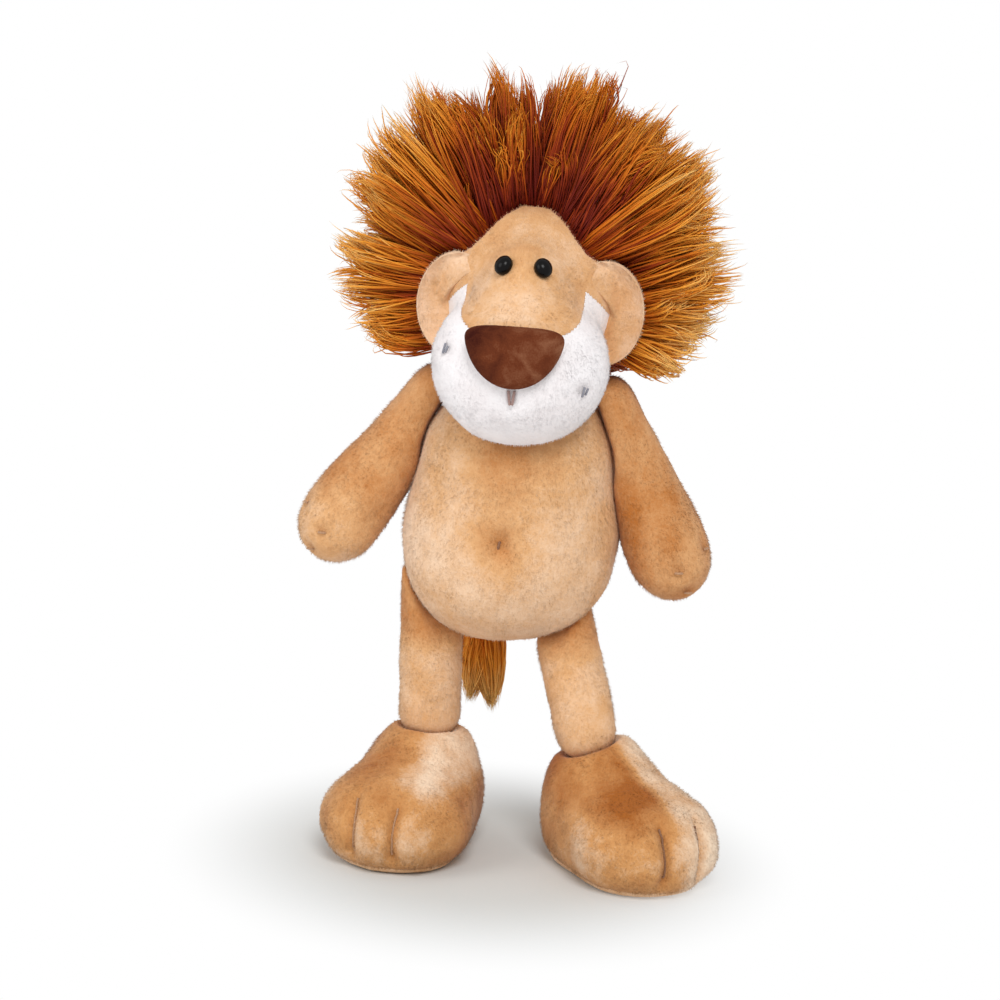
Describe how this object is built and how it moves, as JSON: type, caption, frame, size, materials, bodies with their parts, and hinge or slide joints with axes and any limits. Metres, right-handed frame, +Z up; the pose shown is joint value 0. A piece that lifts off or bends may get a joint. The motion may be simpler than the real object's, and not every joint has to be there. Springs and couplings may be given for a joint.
{
  "type": "plush lion",
  "caption": "Standing plush lion with a round mane of long fur, a big white muzzle, dangling arms, short tube legs, large feet and a tufted tail.",
  "frame": {"origin": "on the floor, under the middle of the lion's bounding box", "axes": "+Z up, -Y the way the lion faces, +X the lion's left"},
  "size_m": [0.1348, 0.104, 0.2424],
  "materials": {
    "tan_cloth": "short pile plush",
    "dark_tan_cloth": "short pile plush",
    "white_cloth": "short pile plush",
    "brown_velour": "velour",
    "rust_fur": "long pile fur, darker at its roots and lighter at its tips",
    "stuffing": "fibre filling",
    "brown_thread": "twisted thread",
    "grey_thread": "twisted thread",
    "black_plastic": "polished",
    "clear_plastic": "moulded",
    "pellets": "bag of plastic pellets"
  },
  "bodies": {
    "foot_left": {"foot_left_sole": "tan_cloth", "foot_left_upper": "dark_tan_cloth", "foot_left_stuffing": "stuffing", "foot_left_pellet_bag": "pellets", "foot_left_toe_stitch_1": "brown_thread", "foot_left_toe_stitch_2": "brown_thread"},
    "leg_left": {"leg_left_skin": "tan_cloth", "leg_left_stuffing": "stuffing"},
    "shoulder_left": {"shoulder_tack_left": "brown_thread"},
    "arm_left": {"arm_left_skin": "tan_cloth", "arm_left_stuffing": "stuffing", "arm_left_paw_tack_1": "brown_thread", "arm_left_paw_tack_2": "brown_thread", "arm_left_paw_tack_3": "brown_thread"},
    "foot_right": {"foot_right_sole": "tan_cloth", "foot_right_upper": "dark_tan_cloth", "foot_right_stuffing": "stuffing", "foot_right_pellet_bag": "pellets", "foot_right_toe_stitch_1": "brown_thread", "foot_right_toe_stitch_2": "brown_thread"},
    "leg_right": {"leg_right_skin": "tan_cloth", "leg_right_stuffing": "stuffing"},
    "shoulder_right": {"shoulder_tack_right": "brown_thread"},
    "arm_right": {"arm_right_skin": "tan_cloth", "arm_right_stuffing": "stuffing", "arm_right_paw_tack_1": "brown_thread", "arm_right_paw_tack_2": "brown_thread", "arm_right_paw_tack_3": "brown_thread"},
    "torso": {"belly_panel": "tan_cloth", "back_panel": "tan_cloth", "torso_stuffing": "stuffing", "belly_button_stitch": "brown_thread"},
    "neck": {"neck_stuffing": "stuffing"},
    "head": {"eye_left": "black_plastic", "eye_washer_left": "clear_plastic", "eye_right": "black_plastic", "eye_washer_right": "clear_plastic", "face_panel": "tan_cloth", "muzzle_panel": "white_cloth", "head_stuffing": "stuffing", "nose_pad": "brown_velour", "mouth_stitch": "brown_thread", "whisker_stitch_left": "grey_thread", "ear_left_back": "tan_cloth", "ear_left_front": "dark_tan_cloth", "whisker_stitch_right": "grey_thread", "ear_right_back": "tan_cloth", "ear_right_front": "dark_tan_cloth", "mane_left": "rust_fur", "mane_right": "rust_fur"},
    "tail": {"tail_tube": "tan_cloth", "tail_tuft": "rust_fur"}
  },
  "joints": [
    {"name": "neck_turn", "type": "hinge", "parent": "torso", "child": "neck", "pos_m": [-0.00095, 0.00198, 0.12053], "axis": [0, 0, 1], "range_deg": [-12, 12], "stiffness_Nm_per_rad": 0.2},
    {"name": "head_nod", "type": "hinge", "parent": "neck", "child": "head", "pos_m": [-0.00095, 0.00198, 0.12053], "axis": [1, 0, 0], "range_deg": [-10, 10], "stiffness_Nm_per_rad": 0.5},
    {"name": "arm_left_swing", "type": "hinge", "parent": "torso", "child": "shoulder_left", "pos_m": [0.02455, 0.00198, 0.14103], "axis": [-1, 0, 0], "range_deg": [-25, 80]},
    {"name": "arm_left_lift", "type": "hinge", "parent": "shoulder_left", "child": "arm_left", "pos_m": [0.02455, 0.00198, 0.14103], "axis": [0, -1, 0], "range_deg": [0, 30]},
    {"name": "arm_right_swing", "type": "hinge", "parent": "torso", "child": "shoulder_right", "pos_m": [-0.02645, 0.00198, 0.14103], "axis": [-1, 0, 0], "range_deg": [-25, 80]},
    {"name": "arm_right_lift", "type": "hinge", "parent": "shoulder_right", "child": "arm_right", "pos_m": [-0.02645, 0.00198, 0.14103], "axis": [0, 1, 0], "range_deg": [0, 30]},
    {"name": "hip_left_swing", "type": "hinge", "parent": "torso", "child": "leg_left", "pos_m": [0.0178, 0.00198, 0.06394], "axis": [-1, 0, 0], "range_deg": [-25, 55], "stiffness_Nm_per_rad": 0.5},
    {"name": "ankle_left_flex", "type": "hinge", "parent": "leg_left", "child": "foot_left", "pos_m": [0.0248, -0.00302, 0.041], "axis": [-0.7431, -0.6691, 0], "range_deg": [-10, 10], "stiffness_Nm_per_rad": 0.5},
    {"name": "hip_right_swing", "type": "hinge", "parent": "torso", "child": "leg_right", "pos_m": [-0.0247, 0.00198, 0.06541], "axis": [-1, 0, 0], "range_deg": [-10, 70], "stiffness_Nm_per_rad": 0.5},
    {"name": "ankle_right_flex", "type": "hinge", "parent": "leg_right", "child": "foot_right", "pos_m": [-0.0242, 0.00398, 0.041], "axis": [-0.9659, 0.2588, 0], "range_deg": [-10, 10], "stiffness_Nm_per_rad": 0.5},
    {"name": "tail_lift", "type": "hinge", "parent": "torso", "child": "tail", "pos_m": [-0.00248, 0.03495, 0.08753], "axis": [1, 0, 0], "range_deg": [0, 90]}
  ]
}
